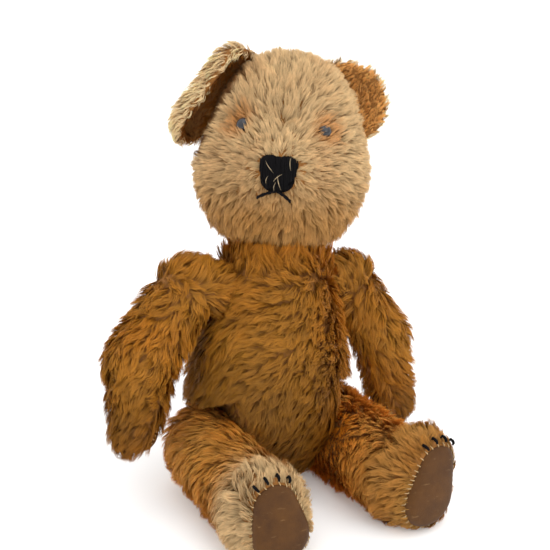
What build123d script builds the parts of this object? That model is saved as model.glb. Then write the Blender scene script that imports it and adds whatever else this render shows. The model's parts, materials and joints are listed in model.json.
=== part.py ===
from build123d import *
import math
import os

# A five-jointed plush teddy bear, sitting. Millimetres, +Z up, the bear faces -Y,
# the origin is on the floor under the seat, midway between the two hips.

# Posture of the torso
SEAT_X = -9.5
LEAN_BACK = 7.0
LEAN_LEFT = 8.5
NECK_H = 176.0
HEAD_YAW = -28.5
HEAD_PITCH = 8.0

# Cloth, clearances and joint hardware
SKIN = 4.0
GAP = 0.3
DISC_T = 3.0
WASHER_R = 7.0
WASHER_T = 1.0
PIN_R = 1.6
BORE_R = 1.68
PIN_WIRE_R = 0.9
PIN_EYE_R = 2.8
PIN_CURL_R = 1.7
POCKET_R = 8.5
POCKET_DEPTH = 9.0
WASHER_FACE = GAP + SKIN + DISC_T
NECK_DISC_R = 23.0
ARM_DISC_R = 14.0
LEG_DISC_R = 21.0

# Joint planes: shoulders in torso coordinates (side, forward, height), hips in the world
SHOULDER = (39.5, 0.0, 140.0)
SHOULDER_TILT = 13.0
SHOULDER_BOSS_R = 21.0
SHOULDER_BOSS_T = 22.0
SHOULDER_BOSS_TAPER = 0.75
HIP = (33.0, 4.0, 36.0)
HIP_TILT = 8.0
HIP_TOE_IN = 3.0
THIGH_RECESS_R = 37.0
THIGH_TOP = 30.0
LEG_RAISE = 22.0
LEG_LOWER = 110.0

# Torso: a turned barrel (radius, height) with a cone above it
TORSO_FORWARD = 4.0
TORSO_FOOT = (37.0, -16.0)
TORSO_BELLY = (55.5, 72.0)
TORSO_CHEST = (45.0, 134.0)
TORSO_TOP = (29.0, 184.0)

# Head: a skull and a muzzle, each a round-ended taper; (forward, up) in head coordinates
JAW = (2.0, 50.0)
JAW_R = 59.5
CROWN = (1.0, 81.0)
CROWN_R = 50.0
CHEEK = (15.0, 45.0)
CHEEK_R = 37.0
SNOUT = (51.0, 45.0)
SNOUT_R = 28.0

# Arms: two round-ended tapers each; (side, forward, height) in torso coordinates and radius
ARMS = {
    "left": (((61, -2, 146), 19.5), ((93, 0, 104), 19.5), ((103, 8, 56), 16.0)),
    "right": (((65, -2, 143), 21.5), ((99, 6, 93), 24.0), ((107, 22, 48), 16.5)),
}
ELBOW_STEP = 0.4
PAW_PAD_R = 13.0
PALM_REACH = 40.0

# Legs: a round-ended taper from hip to ankle and an upright oval foot
THIGH_R = 31.0
ANKLE_R = 28.0
ANKLE_T = 94.0
LEG_FLOOR = 1.0
LEG_AXIS_X = 43.0
LEG_FREE = 68.0
LEG_YAW = {"left": 9.0, "right": 3.5}
FOOT_W = 46.0
FOOT_H = 68.0
FOOT_START = 100.0
SOLE_T = 129.0
FOOT_ROUND = 6.0
PAD_T = 3.0
PAD_EDGE = 2.0

# Features of the head, (side, forward, up) in head coordinates
CUP_R = 42.0
CUP_DEPTH = 15.0
CUP_SITE = (41.0, -4.0, 99.0)
CUP_FACING = (0.15, 0.98, 0.1)
FLAP_POLAR = 57.0
FLAP_SITE_R = 59.0
FLAP_FORWARD = 10.0
FLAP_UP = 64.0
FLAP_R = 17.0
FLAP_HALF = 40.0
FLAP_LIFT = 30.0
FLAP_CUT = -2.0
EAR_LAYER = 2.2
EYE_R = 5.5
EYE_SITE = (27.0, 44.5, 75.5)
EYE_FACING = (0.28, 0.95, 0.12)
EYE_SHANK = 14.0
NOSE_R = 13.5
NOSE_T = 4.0
NOSE_ROUND = 2.5
NOSE_SITE = (-1.0, 74.5, 45.5)
NOSE_FACING = (0.0, 0.97, 0.24)
MOUTH_TOP = (1.4, 75.5, 32.5)
MOUTH_CORNERS = {1: (8.5, 69.0, 27.0), -1: (-13.5, 69.0, 28.0)}
THREAD_R = 0.9
CLAW_R = 0.8
CLAW_BACK = 15.0
CLAW_SPREAD = 24.0
GUSSET = ((78, 9), (50, 15), (20, 27), (-20, 27), (-64, 9))
GUSSET_FLOOR = 48.0
GUSSET_RISE = 120.0
BIG = 600.0

os.makedirs("parts", exist_ok=True)


def save(shape, name):
    export_step(shape, f"parts/{name}.step")


def joined(*shapes):
    solids = [s for shape in shapes for s in shape.solids()]
    return solids[0].fuse(*solids[1:])


def turned(*edges):
    """A solid turned about Z from a closed profile, x as radius and y as height."""
    return revolve(Plane.XZ * make_face(Curve() + list(edges)), Axis.Z)


def capsule(start, start_r, end, end_r):
    """A round-ended taper between two points."""
    axis = end - start
    length = axis.length
    tilt = math.asin((start_r - end_r) / length)

    def rim(radius, turn, base):
        return (radius * math.cos(turn), base + radius * math.sin(turn))

    foot, top = (0, -start_r), (0, length + end_r)
    shoulder, neck = rim(start_r, tilt, 0), rim(end_r, tilt, length)
    body = turned(
        ThreePointArc(foot, rim(start_r, (tilt - math.pi / 2) / 2, 0), shoulder),
        Line(shoulder, neck),
        ThreePointArc(neck, rim(end_r, (tilt + math.pi / 2) / 2, length), top),
        Line(top, foot),
    )
    return Plane(start, z_dir=axis) * body


def above(plane, offset=0.0):
    """The half space on the positive side of a plane."""
    return plane * Pos(0, 0, offset + BIG / 2) * Box(BIG, BIG, BIG)


def disc(plane, radius, start, end):
    """A round plate on a plane's axis from one height to another."""
    return plane * Pos(0, 0, (start + end) / 2) * Cylinder(radius, end - start)


# Frames -------------------------------------------------------------------------------

SPINE = Plane(Pos(SEAT_X, 0, 0) * Rot(0, LEAN_LEFT, 0) * Rot(-LEAN_BACK, 0, 0))


def in_frame(frame, side, forward, up):
    return frame.from_local_coords(Vector(side, -forward, up))


def direction(frame, side, forward, up):
    return in_frame(frame, side, forward, up) - in_frame(frame, 0, 0, 0)


NECK = Plane(in_frame(SPINE, 0, 0, NECK_H), x_dir=SPINE.x_dir, z_dir=SPINE.z_dir)
HEAD_FRAME = Plane(NECK.location * Rot(0, 0, HEAD_YAW) * Rot(-HEAD_PITCH, 0, 0))


def shoulder_plane(sign):
    tilt = math.radians(SHOULDER_TILT)
    side, forward, height = SHOULDER
    return Plane(
        in_frame(SPINE, sign * side, forward, height),
        x_dir=direction(SPINE, 0, 1, 0),
        z_dir=direction(SPINE, sign * math.cos(tilt), 0, math.sin(tilt)),
    )


def hip_plane(sign):
    tilt = math.radians(HIP_TILT)
    toe = math.radians(HIP_TOE_IN)
    x, y, z = HIP
    normal = Vector(
        sign * math.cos(tilt) * math.cos(toe), -math.cos(tilt) * math.sin(toe), -math.sin(tilt)
    )
    return Plane((sign * x, y, z), x_dir=(-sign * math.sin(toe), -math.cos(toe), 0), z_dir=normal)


# Joint hardware -----------------------------------------------------------------------


def bore(plane):
    """The hole that the pin turns in, through everything between its eye and its curls."""
    return disc(plane, BORE_R, -WASHER_FACE - WASHER_T, WASHER_FACE + WASHER_T)


def cotter_pin(plane):
    """A split pin: an eye in the limb, a shank through the joint, two legs curled over inside."""
    top = WASHER_FACE + WASHER_T
    reach = top + GAP + PIN_CURL_R
    shank = disc(plane, PIN_R, -reach, top)
    collar = disc(plane, PIN_R + PIN_WIRE_R, top, top + PIN_WIRE_R)
    eye = plane * Pos(0, 0, top + PIN_WIRE_R + PIN_EYE_R) * Rot(90, 0, 0) * Torus(PIN_EYE_R, PIN_WIRE_R)
    parts = [shank, collar, eye]
    for sign in (-1, 1):
        place = Pos(sign * (PIN_CURL_R + PIN_WIRE_R / 2), 0, -reach - PIN_WIRE_R)
        parts.append(plane * place * Rot(90, 0, 0) * Torus(PIN_CURL_R, PIN_WIRE_R))
    return joined(*parts)


def pin_pocket(plane):
    """The hollow in the torso's stuffing in which the curled pin turns."""
    return disc(plane, POCKET_R, -WASHER_FACE - WASHER_T - POCKET_DEPTH, -WASHER_FACE - WASHER_T)


JOINTS = {
    "neck": (NECK, NECK_DISC_R),
    "arm_left": (shoulder_plane(1), ARM_DISC_R),
    "arm_right": (shoulder_plane(-1), ARM_DISC_R),
    "leg_left": (hip_plane(1), LEG_DISC_R),
    "leg_right": (hip_plane(-1), LEG_DISC_R),
}


def save_joint(name):
    plane, radius = JOINTS[name]
    hole = bore(plane)
    save(disc(plane, radius, GAP + SKIN, WASHER_FACE) - hole, f"{name}_disc")
    save(disc(plane, WASHER_R, WASHER_FACE, WASHER_FACE + WASHER_T) - hole, f"{name}_washer")
    save(disc(plane, radius, -WASHER_FACE, -GAP - SKIN) - hole, f"torso_disc_{name}")
    save(cotter_pin(plane), f"{name}_cotter_pin")


def torso_washer(plane):
    return disc(plane, WASHER_R, -WASHER_FACE - WASHER_T, -WASHER_FACE) - bore(plane)


def stuffing_less_hardware(stuffing, name):
    plane, radius = JOINTS[name]
    plate = disc(plane, radius, 0, WASHER_FACE)
    washer = disc(plane, WASHER_R, 0, WASHER_FACE + WASHER_T)
    return stuffing - plate - washer - cotter_pin(plane)


# Torso --------------------------------------------------------------------------------


def torso_body(inset):
    foot, belly, chest, top = (
        (radius - inset, height) for radius, height in (TORSO_FOOT, TORSO_BELLY, TORSO_CHEST, TORSO_TOP)
    )
    barrel = turned(
        Line((0, foot[1]), foot),
        ThreePointArc(foot, belly, chest),
        Line(chest, top),
        Line(top, (0, top[1])),
        Line((0, top[1]), (0, foot[1])),
    )
    body = SPINE * Pos(0, -TORSO_FORWARD, 0) * barrel
    body = body & above(Plane.XY, inset)
    body = body - above(NECK, -GAP - inset)
    for sign in (-1, 1):
        body = body - above(shoulder_plane(sign), -GAP - inset)
        body = body - thigh_recess(sign, inset)
    return body


def thigh_recess(sign, inset):
    """The room that a thigh turns in: a round recess and the leg's path, raised and lowered."""
    plane = hip_plane(sign)
    floor = -GAP - inset
    radius = THIGH_RECESS_R + inset
    top = THIGH_TOP + inset
    raised = Rot(0, 0, -sign * LEG_RAISE) * Pos(BIG / 4, sign * (BIG / 4 - top), floor + BIG / 8)
    lowered = Rot(0, 0, sign * LEG_LOWER) * Pos(BIG / 4, 0, floor + BIG / 8)
    room = disc(plane, radius, floor, BIG / 4)
    room = room + plane * raised * Box(BIG / 2, BIG / 2, BIG / 4)
    return room + plane * lowered * Box(BIG / 2, 2 * radius, BIG / 4)


def make_torso():
    outer = torso_body(0.0)
    inner = torso_body(SKIN)
    skin = outer - inner
    for plane, radius in JOINTS.values():
        skin = skin - bore(plane)
        inner = inner - disc(plane, radius, -WASHER_FACE, 0)
        inner = inner - disc(plane, WASHER_R, -WASHER_FACE - WASHER_T, 0) - pin_pocket(plane)
    middle = Plane(SPINE.origin, x_dir=direction(SPINE, 0, 1, 0), z_dir=direction(SPINE, 1, 0, 0))
    left_half = above(middle)
    save(skin & left_half, "torso_panel_left")
    save(skin - left_half, "torso_panel_right")
    save(inner, "torso_stuffing")
    save(Compound(children=[torso_washer(plane) for plane, _ in JOINTS.values()]), "torso_joint_washers")


# Head ---------------------------------------------------------------------------------


def head_body(inset):
    skull = capsule(in_head(0, *JAW), JAW_R - inset, in_head(0, *CROWN), CROWN_R - inset)
    muzzle = capsule(in_head(0, *CHEEK), CHEEK_R - inset, in_head(0, *SNOUT), SNOUT_R - inset)
    return (skull + muzzle) & above(NECK, GAP + inset)


def in_head(side, forward, up):
    return in_frame(HEAD_FRAME, side, forward, up)


def rod(start, end, radius):
    axis = end - start
    return Plane(start, z_dir=axis) * Pos(0, 0, axis.length / 2) * Cylinder(radius, axis.length)


def eye(sign):
    """A glass button eye and the wire shank that holds it."""
    side, forward, up = EYE_SITE
    centre = in_head(sign * side, forward, up)
    out, ahead, rise = EYE_FACING
    plane = Plane(centre, z_dir=direction(HEAD_FRAME, sign * out, ahead, rise))
    back = -EYE_R / 3
    glass = (plane * Sphere(EYE_R)) & above(plane, back)
    return glass, disc(plane, THREAD_R, back - EYE_SHANK, back)


def nose_pad():
    plane = Plane(in_head(*NOSE_SITE), z_dir=direction(HEAD_FRAME, *NOSE_FACING))
    pad = Cylinder(NOSE_R, NOSE_T)
    rim = pad.edges().filter_by(GeomType.CIRCLE).sort_by(Axis.Z)[-1]
    return plane * Pos(0, 0, NOSE_T / 2) * fillet(rim, NOSE_ROUND)


def mouth_threads():
    """Two straight stitches below the nose, like a wide upside-down V."""
    parts = []
    side, forward, up = MOUTH_TOP
    for sign, corner in MOUTH_CORNERS.items():
        parts.append(rod(in_head(sign * side, forward, up), in_head(*corner), THREAD_R))
    return Compound(children=parts)


def cupped_ear(near, far):
    """A shallow round dish that stands behind the side of the head and opens forward."""
    rim = Plane(in_head(*CUP_SITE), z_dir=direction(HEAD_FRAME, *CUP_FACING))
    centre = rim * Pos(0, 0, CUP_R - CUP_DEPTH)
    shell = centre * Sphere(CUP_R - near) - centre * Sphere(CUP_R - far)
    return shell - above(rim)


def folded_ear(near, far):
    """A long flap folded over the side of the head, its front edge standing clear of it."""
    angle = math.radians(FLAP_POLAR)
    lift = math.radians(FLAP_LIFT)
    side = -FLAP_SITE_R * math.sin(angle)
    centre = in_head(side, FLAP_FORWARD, FLAP_UP + FLAP_SITE_R * math.cos(angle))
    base = direction(HEAD_FRAME, -math.cos(angle), 0, -math.sin(angle))
    rise = direction(
        HEAD_FRAME,
        -math.sin(angle) * math.cos(lift),
        -math.sin(lift),
        math.cos(angle) * math.cos(lift),
    )
    half = base * (FLAP_HALF - FLAP_R)
    outer = capsule(centre - half, FLAP_R - near, centre + half, FLAP_R - near)
    inner = capsule(centre - half, FLAP_R - far, centre + half, FLAP_R - far)
    return (outer - inner) & above(Plane(centre, z_dir=rise), FLAP_CUT)


def make_ears(head_outer):
    for name, shell in (("left", cupped_ear), ("right", folded_ear)):
        save(largest(shell(0.0, EAR_LAYER) - head_outer), f"ear_{name}_back")
        save(largest(shell(EAR_LAYER, 2 * EAR_LAYER) - head_outer), f"ear_{name}_lining")


def largest(shape):
    return max(shape.solids(), key=lambda solid: solid.volume)


def gusset_prism():
    """The strip of cloth over the middle of the head, from the nose to the nape."""
    outline = [(half, forward) for forward, half in GUSSET]
    outline += [(-half, forward) for forward, half in reversed(GUSSET)]
    plane = Plane(
        in_head(0, 0, GUSSET_FLOOR), x_dir=HEAD_FRAME.x_dir, z_dir=-HEAD_FRAME.z_dir
    )
    face = Face(Wire.make_polygon([plane.from_local_coords(Vector(x, y, 0)) for x, y in outline]))
    return extrude(face, amount=GUSSET_RISE, dir=HEAD_FRAME.z_dir)


def make_head():
    outer = head_body(0.0)
    inner = head_body(SKIN)
    glasses = []
    shanks = []
    for name, sign in (("left", 1), ("right", -1)):
        glass, shank = eye(sign)
        save(glass, f"eye_{name}_glass")
        save(shank, f"eye_{name}_shank")
        glasses.append(glass)
        shanks.append(shank)
    nose = nose_pad()
    mouth = mouth_threads()
    save(nose, "nose_embroidery")
    save(mouth - nose, "mouth_stitching")
    features = [*glasses, *shanks, nose, *mouth.solids()]
    skin = outer - inner - bore(NECK)
    for feature in features:
        skin = skin - feature
        inner = inner - feature
    strip = gusset_prism()
    sides = skin - strip
    middle = Plane(
        HEAD_FRAME.origin, x_dir=direction(HEAD_FRAME, 0, 1, 0), z_dir=direction(HEAD_FRAME, 1, 0, 0)
    )
    left_half = above(middle)
    save(skin & strip, "head_gusset")
    save(sides & left_half, "head_side_left")
    save(sides - left_half, "head_side_right")
    save(stuffing_less_hardware(inner, "neck"), "head_stuffing")
    make_ears(outer)


# Limbs --------------------------------------------------------------------------------


def arm_points(name, sign):
    return [in_frame(SPINE, sign * side, forward, height) for (side, forward, height), _ in ARMS[name]]


def arm_body(name, sign, inset):
    joint = shoulder_plane(sign)
    shoulder, elbow, paw = arm_points(name, sign)
    shoulder_r, elbow_r, paw_r = (radius - inset for _, radius in ARMS[name])
    boss_r = SHOULDER_BOSS_R - inset
    boss = joint * Pos(0, 0, SHOULDER_BOSS_T / 2) * Cone(boss_r, SHOULDER_BOSS_TAPER * boss_r, SHOULDER_BOSS_T)
    upper = capsule(shoulder, shoulder_r, elbow, elbow_r)
    lower = capsule(elbow, elbow_r - ELBOW_STEP, paw, paw_r)
    return (upper + lower + boss) & above(joint, GAP + inset)


def make_arm(name, sign):
    joint = shoulder_plane(sign)
    outer = arm_body(name, sign, 0.0)
    inner = arm_body(name, sign, SKIN)
    skin = outer - inner - bore(joint)
    shoulder, _, paw = arm_points(name, sign)
    outward = (paw - shoulder).cross(direction(SPINE, 0, -sign, 0))
    outside = above(Plane(paw, z_dir=outward))
    palm_cut = disc(Plane(paw, z_dir=outward), PAW_PAD_R, -PALM_REACH, 0)
    inner_skin = skin - outside
    save(skin & outside, f"arm_{name}_outer_panel")
    save(inner_skin - palm_cut, f"arm_{name}_inner_panel")
    save(largest(inner_skin & palm_cut), f"arm_{name}_paw_pad")
    save(stuffing_less_hardware(inner, f"arm_{name}"), f"arm_{name}_stuffing")


def leg_frame(name, sign, distance, height):
    """A plane across the leg: x outward, y up, z along the leg for the left leg."""
    yaw = math.radians(LEG_YAW[name])
    along = Vector(sign * math.sin(yaw), -math.cos(yaw), 0)
    across = Vector(math.cos(yaw), sign * math.sin(yaw), 0)
    origin = Vector(sign * LEG_AXIS_X, HIP[1], height) + along * distance
    return Plane(origin, x_dir=across, z_dir=along)


def oval(frame, width, height, start, end, rounding):
    """An upright stadium-shaped block with rounded end edges."""
    block = extrude(Rot(0, 0, 90) * SlotOverall(height, width), amount=end - start)
    rims = block.edges().group_by(Axis.Z)
    return frame * Pos(0, 0, start) * fillet(rims[0] + rims[-1], rounding)


def foot_centre_height():
    return LEG_FLOOR + FOOT_H / 2


def leg_body(name, sign, inset):
    hip = leg_frame(name, sign, 0, LEG_FLOOR + THIGH_R).origin
    ankle = leg_frame(name, sign, ANKLE_T, LEG_FLOOR + ANKLE_R).origin
    taper = capsule(hip, THIGH_R - inset, ankle, ANKLE_R - inset)
    foot = oval(
        leg_frame(name, sign, 0, foot_centre_height()),
        FOOT_W - 2 * inset,
        FOOT_H - 2 * inset,
        FOOT_START + inset,
        SOLE_T - inset,
        FOOT_ROUND - inset / 2,
    )
    return (taper + foot) & leg_room(name, sign, inset)


def leg_room(name, sign, inset):
    """Where a leg may be: outside the hip's face, or further forward than the belly."""
    ahead = leg_frame(name, sign, LEG_FREE, HIP[2])
    return above(hip_plane(sign), GAP + inset) + above(ahead, inset)


def sole_pad(name, sign):
    frame = leg_frame(name, sign, SOLE_T, foot_centre_height())
    width = FOOT_W - 2 * FOOT_ROUND + 4 * PAD_EDGE
    height = FOOT_H - 2 * FOOT_ROUND + 4 * PAD_EDGE
    return oval(frame, width, height, 0, PAD_T, PAD_EDGE / 2)


def claws(name, sign):
    """Four short stitches over the toe, above the edge of the sole."""
    toe_r = FOOT_W / 2
    toe_height = LEG_FLOOR + FOOT_H - toe_r
    parts = []
    for step in (-1.5, -0.5, 0.5, 1.5):
        lean = math.radians(step * CLAW_SPREAD)
        start = leg_frame(name, sign, SOLE_T - CLAW_BACK, toe_height)
        end = leg_frame(name, sign, SOLE_T - FOOT_ROUND, toe_height)
        place = Vector(toe_r * math.sin(lean), toe_r * math.cos(lean), 0)
        parts.append(rod(start.from_local_coords(place), end.from_local_coords(place), CLAW_R))
    return Compound(children=parts)


def make_leg(name, sign):
    outer = leg_body(name, sign, 0.0)
    inner = leg_body(name, sign, SKIN)
    toes = claws(name, sign)
    skin = outer - inner - bore(hip_plane(sign))
    for claw in toes.solids():
        skin = skin - claw
    frame = leg_frame(name, sign, 0, 0)
    outside = above(Plane(frame.origin, z_dir=frame.x_dir * sign))
    save(skin & outside, f"leg_{name}_outer_panel")
    save(skin - outside, f"leg_{name}_inner_panel")
    save(sole_pad(name, sign), f"leg_{name}_foot_pad")
    save(toes, f"leg_{name}_claws")
    save(stuffing_less_hardware(inner, f"leg_{name}"), f"leg_{name}_stuffing")


make_torso()
make_head()
make_arm("left", 1)
make_arm("right", -1)
make_leg("left", 1)
make_leg("right", -1)
for joint_name in JOINTS:
    save_joint(joint_name)
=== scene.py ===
import itertools
import json
import math
import bpy
import numpy as np
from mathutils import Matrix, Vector


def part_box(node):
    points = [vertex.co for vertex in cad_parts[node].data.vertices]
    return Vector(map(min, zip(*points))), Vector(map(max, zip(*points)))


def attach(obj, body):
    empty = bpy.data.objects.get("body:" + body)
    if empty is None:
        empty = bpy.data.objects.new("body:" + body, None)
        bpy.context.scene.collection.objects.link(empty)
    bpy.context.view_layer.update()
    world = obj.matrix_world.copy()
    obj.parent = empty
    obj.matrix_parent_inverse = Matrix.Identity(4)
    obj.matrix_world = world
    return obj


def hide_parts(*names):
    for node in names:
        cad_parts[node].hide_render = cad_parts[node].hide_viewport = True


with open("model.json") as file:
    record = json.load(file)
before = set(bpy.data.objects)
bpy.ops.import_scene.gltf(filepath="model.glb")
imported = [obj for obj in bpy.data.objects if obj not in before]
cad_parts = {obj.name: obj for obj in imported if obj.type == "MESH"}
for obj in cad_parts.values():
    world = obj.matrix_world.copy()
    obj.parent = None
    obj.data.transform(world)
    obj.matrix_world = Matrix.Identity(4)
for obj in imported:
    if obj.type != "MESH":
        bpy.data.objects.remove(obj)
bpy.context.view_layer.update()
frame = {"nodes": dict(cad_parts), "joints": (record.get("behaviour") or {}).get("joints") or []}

# The bear is worked out in millimetres in the CAD frame and turned into metres when a
# mesh is made. "side" is towards the bear's left, "forward" the way its belly faces.
MM = 0.001

# Posture, the same values as the CAD part
SEAT_X, LEAN_BACK, LEAN_LEFT, NECK_H = -9.5, 7.0, 8.5, 176.0
HEAD_YAW, HEAD_PITCH = -28.5, 8.0
GAP = 0.3

# The cloth lies inside the CAD outline, and the pile fills the rest and a little more
CLOTH_INSET = 2.5
FLOOR_GAP = 0.5
JOINT_NAP = 2.5

TORSO_FORWARD = 4.0
TORSO_R, TORSO_MIDDLE, TORSO_BARREL, TORSO_CHEST = 55.5, 69.5, 395.0, 134.0
JAW, JAW_R, CROWN, CROWN_R = (0, 2, 50), 59.5, (0, 1, 81), 50.0
CHEEK, CHEEK_R, SNOUT, SNOUT_R = (0, 15, 45), 37.0, (0, 51, 45), 28.0
ARMS = {
    "left": (((61, -2, 146), 19.5), ((93, 0, 104), 19.5), ((103, 8, 56), 16.0)),
    "right": (((65, -2, 143), 21.5), ((99, 6, 93), 24.0), ((107, 22, 48), 16.5)),
}
BOSS_R, BOSS_END_R, BOSS_T, BOSS_BACK = 21.0, 15.7, 22.0, 8
THIGH_R, ANKLE_R, ANKLE_T, LEG_FLOOR, LEG_AXIS_X, LEG_FREE = 31.0, 28.0, 94.0, 1.0, 43.0, 68.0
LEG_YAW = {"left": 9.0, "right": 3.5}
SOLE_T, FOOT_START, FOOT_W, FOOT_H = 129.0, 100.0, 46.0, 68.0
THIGH_RECESS_R, THIGH_TOP, LEG_RAISE, LEG_LOWER = 37.0, 30.0, 22.0, 110.0
CUP_R, CUP_DEPTH, CUP_SITE = 42.0, 15.0, (41.0, -4.0, 99.0)
FLAP_POLAR, FLAP_SITE_R, FLAP_FORWARD, FLAP_R, FLAP_HALF = 57.0, 59.0, 10.0, 17.0, 40.0
FLAP_ROUND_UP, FLAP_LIFT, FLAP_CUT = 64.0, 30.0, -2.0
EYE_SITE, EYE_R = (27.0, 44.5, 75.5), 5.5
NOSE_SITE, NOSE_FACING = (-1.0, 74.5, 45.5), (0.0, 0.97, 0.24)


# Frames and fields


def cos_sin(degrees):
    return math.cos(math.radians(degrees)), math.sin(math.radians(degrees))


def turn(axis, degrees):
    c, s = cos_sin(degrees)
    u, v = {"x": (1, 2), "y": (2, 0), "z": (0, 1)}[axis]
    m = np.eye(3)
    m[u, u] = m[v, v] = c
    m[u, v], m[v, u] = -s, s
    return m


def norm(v):
    return np.linalg.norm(v, axis=-1)


def unit(v):
    v = np.asarray(v, float)
    return v / np.maximum(np.linalg.norm(v, axis=-1, keepdims=True), 1e-9)


class Place:
    """A frame whose coordinates are (side, forward, up)."""

    def __init__(self, origin, axes):
        self.origin = np.asarray(origin, float)
        self.axes = axes

    def at(self, side, forward, up):
        return self.origin + self.axes @ np.array([side, -forward, up], float)

    def way(self, side, forward, up):
        return self.axes @ np.array([side, -forward, up], float)

    def local(self, points):
        return ((points - self.origin) @ self.axes) * (1, -1, 1)

    def world_way(self, vectors):
        return (vectors * (1, -1, 1)) @ self.axes.T


SPINE = Place((SEAT_X, 0, 0), turn("y", LEAN_LEFT) @ turn("x", -LEAN_BACK))
HEAD = Place(SPINE.at(0, 0, NECK_H), SPINE.axes @ turn("z", HEAD_YAW) @ turn("x", -HEAD_PITCH))


def middle(node):
    low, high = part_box(node)
    return (np.array(low) + np.array(high)) / 2 / MM


def joint_plane(name, limb_node):
    """(point, normal) of a joint's face, the normal pointing into the limb."""
    joint = next(j for j in frame["joints"] if j["name"] == name)
    point = np.array(joint["pos_m"]) / MM
    normal = unit(joint["axis"])
    return point, normal * np.sign((middle(limb_node) - point) @ normal)


PLANES = {
    "head": joint_plane("neck_turn", "head_stuffing"),
    "arm_left": joint_plane("shoulder_left", "arm_left_stuffing"),
    "arm_right": joint_plane("shoulder_right", "arm_right_stuffing"),
    "leg_left": joint_plane("hip_left", "leg_left_stuffing"),
    "leg_right": joint_plane("hip_right", "leg_right_stuffing"),
}


def beyond(points, plane):
    return (points - plane[0]) @ plane[1]


def from_axis(points, plane):
    return norm(np.cross(points - plane[0], plane[1]))


def soft_min(a, b, width):
    h = np.maximum(width - np.abs(a - b), 0) / width
    return np.minimum(a, b) - h * h * width / 4


def soft_max(a, b, width):
    return -soft_min(-a, -b, width)


def taper(points, start, start_r, end, end_r):
    """Signed distance to a round-ended taper."""
    axis = end - start
    square = axis @ axis
    step = start_r - end_r
    rest = square - step * step
    away = points - start
    y = away @ axis
    z = y - square
    x2 = ((away * square - np.outer(y, axis)) ** 2).sum(1)
    k = math.copysign(step * step, step) * x2
    at_end = np.sqrt(x2 + z * z * square) / square - end_r
    at_start = np.sqrt(x2 + y * y * square) / square - start_r
    between = (np.sqrt(x2 * rest / square) + y * step) / square - start_r
    side = np.where(np.sign(y) * rest * y * y * square < k, at_start, between)
    return np.where(np.sign(z) * rest * z * z * square > k, at_end, side)


def gradient(field, points, step=0.4):
    here = field(points)
    ahead = np.stack([field(points + step * e) for e in np.eye(3)], 1)
    return unit(ahead - here[:, None])


def smooth(value, low, high):
    t = np.clip((value - low) / (high - low), 0, 1)
    return t * t * (3 - 2 * t)


def ripple(points, size, seed):
    """Smooth noise of about that feature size, from -1 to 1."""
    draw = np.random.default_rng(seed)
    waves = unit(draw.normal(size=(7, 3))) * draw.uniform(0.6, 1.4, (7, 1)) * 2 * math.pi / size
    phase = draw.uniform(0, 2 * math.pi, 7)
    return np.sin(points @ waves.T + phase).sum(1) / 3.2


def recess(points, sign, name):
    """Signed distance to the room that a thigh turns in, beside the seat."""
    point, normal = PLANES[name]
    out = unit(normal)
    ahead = unit(np.cross(np.cross(out, (0, -1.0, 0)), out))
    down = np.cross(out, ahead) * sign
    q = points - point
    x, y, z = q @ ahead, q @ down, q @ out
    up_c, up_s = cos_sin(LEG_RAISE)
    low_c, low_s = cos_sin(LEG_LOWER)
    hub = np.hypot(x, y) - THIGH_RECESS_R
    raised = np.maximum(-(x * up_c - y * up_s), -(x * up_s + y * up_c) - THIGH_TOP)
    across = np.abs(y * low_c - x * low_s) - THIGH_RECESS_R
    lowered = np.maximum(-(x * low_c + y * low_s), across)
    return np.maximum(np.minimum(np.minimum(hub, raised), lowered), -GAP - z)


def torso_shape(points):
    q = SPINE.local(points)
    rho = np.hypot(q[:, 0], q[:, 1] - TORSO_FORWARD)
    rise = q[:, 2] - TORSO_MIDDLE
    top = TORSO_CHEST - TORSO_MIDDLE
    slope = 2 * np.minimum(rise, top) / TORSO_BARREL
    radius = TORSO_R - np.minimum(rise, top) ** 2 / TORSO_BARREL
    radius = radius - np.maximum(rise - top, 0) * 2 * top / TORSO_BARREL
    return (rho - radius) / np.sqrt(1 + slope**2)


def torso_uncut(points):
    """The torso without its joints: a barrel whose belly turns under, back to a flat seat."""
    q = SPINE.local(points)
    under = (q[:, 1] - q[:, 2]) / math.sqrt(2) - 1.0
    d = soft_max(torso_shape(points) + CLOTH_INSET, under, 14.0)
    return soft_max(d, 2.0 - points[:, 2], 8.0)


def torso_field(points):
    d = torso_uncut(points)
    d = soft_max(d, beyond(points, PLANES["head"]) + GAP, 5.0)
    for name, sign in (("left", 1), ("right", -1)):
        d = soft_max(d, beyond(points, PLANES["arm_" + name]) + GAP, 4.0)
        d = soft_max(d, -recess(points, sign, "leg_" + name), 3.0)
    return d


def uncut_head(points):
    skull = taper(points, HEAD.at(*JAW), JAW_R, HEAD.at(*CROWN), CROWN_R)
    muzzle = taper(points, HEAD.at(*CHEEK), CHEEK_R, HEAD.at(*SNOUT), SNOUT_R)
    return soft_min(skull, muzzle, 8.0)


def head_field(points):
    d = uncut_head(points) + CLOTH_INSET
    return soft_max(d, GAP - beyond(points, PLANES["head"]), 5.0)


def arm_ends(name, sign):
    """The middle of an arm at its shoulder, elbow and paw."""
    return [SPINE.at(sign * s, f, h) for (s, f, h), _ in ARMS[name]]


def arm_field(name, sign):
    plane = PLANES["arm_" + name]
    shoulder, elbow, paw = arm_ends(name, sign)
    r0, r1, r2 = (r for _, r in ARMS[name])
    boss_start, boss_end = plane[0] - BOSS_BACK * plane[1], plane[0] + BOSS_T * plane[1]

    def field(points):
        boss = taper(points, boss_start, BOSS_R, boss_end, BOSS_END_R)
        upper = taper(points, shoulder, r0, elbow, r1)
        lower = taper(points, elbow, r1, paw, r2)
        d = soft_min(soft_min(upper, lower, 5.0), boss, 6.0) + CLOTH_INSET
        return soft_max(d, GAP - beyond(points, plane), 4.0)

    return field


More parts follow.
